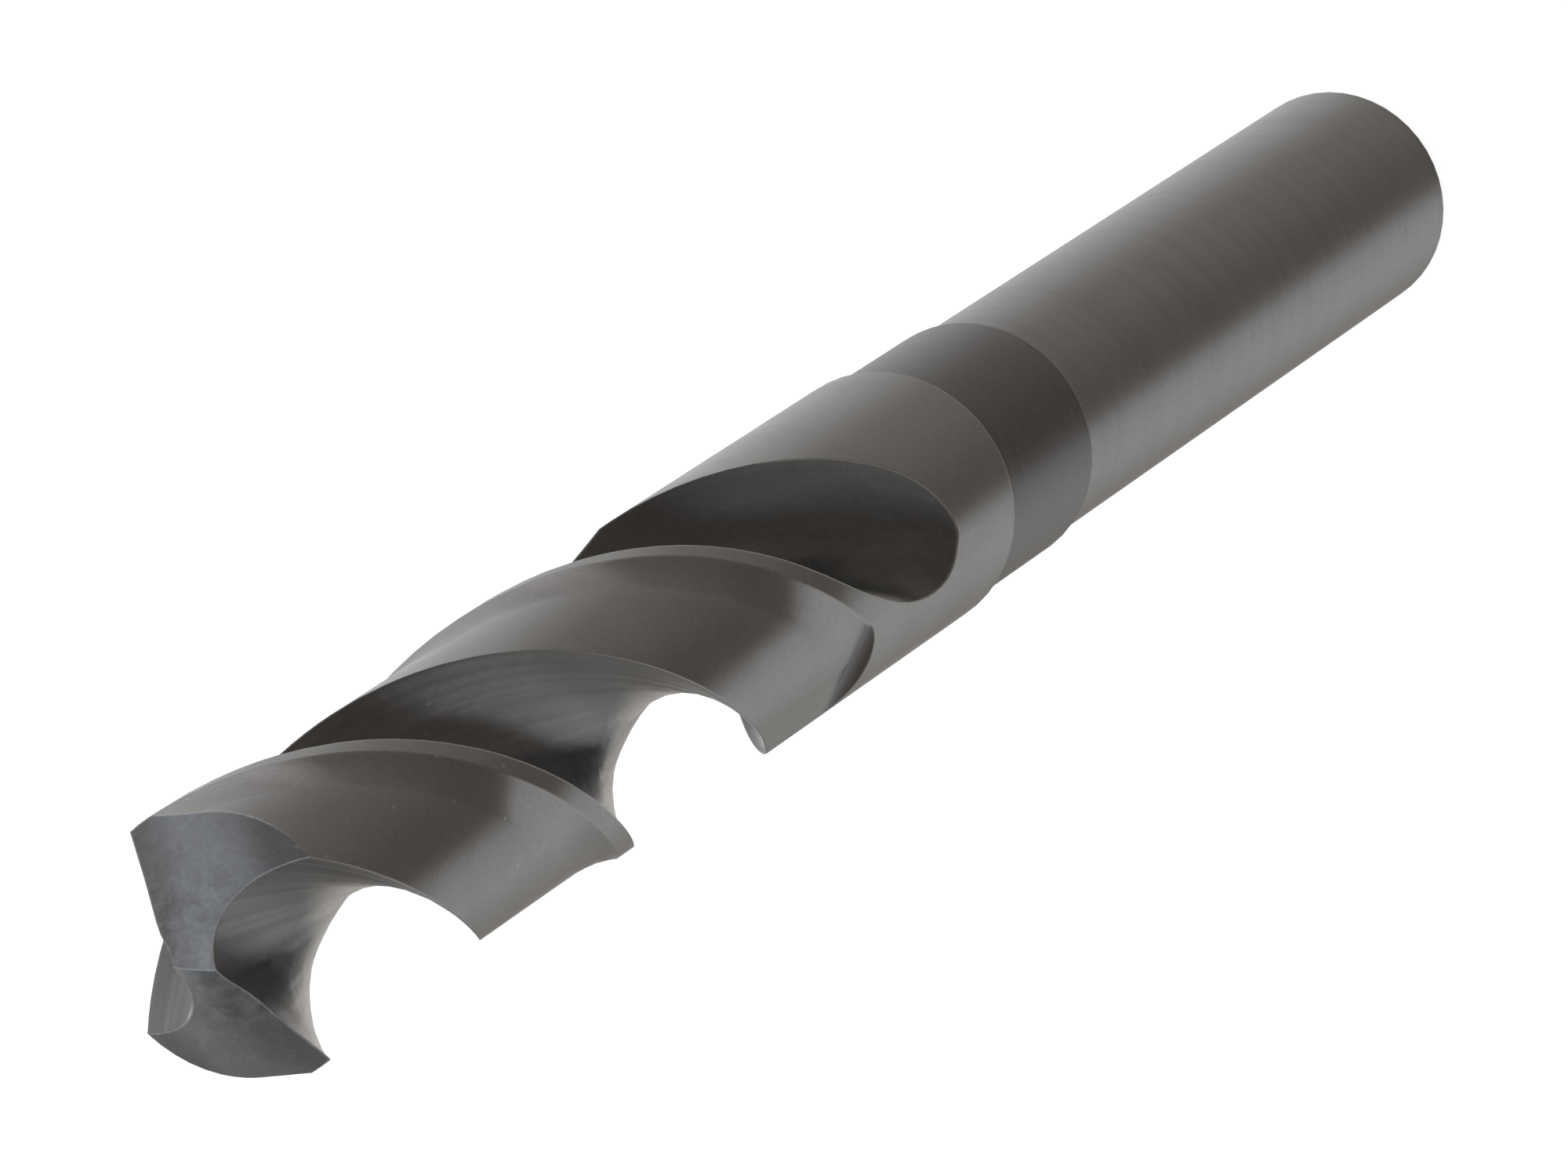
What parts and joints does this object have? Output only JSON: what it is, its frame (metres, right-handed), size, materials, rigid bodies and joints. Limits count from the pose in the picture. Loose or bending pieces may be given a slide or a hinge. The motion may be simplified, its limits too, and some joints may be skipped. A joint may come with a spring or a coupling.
{
  "type": "reduced-shank twist drill bit",
  "caption": "Right-hand twist drill bit for metal: helical flutes, conical ground point, ground lands with narrow margins, short plain neck and a straight reduced shank.",
  "frame": {"origin": "centre of the flat end of the shank, on the drill's axis", "axes": "+Z along the axis from the shank to the point; X is parallel to the two cutting lips"},
  "size_m": [0.014, 0.014, 0.1524],
  "materials": {
    "ground_steel": "satin ground steel with a dark grey finish, darker in the flutes and on the neck"
  },
  "bodies": {
    "root": {"drill_bit": "ground_steel"}
  },
  "joints": []
}
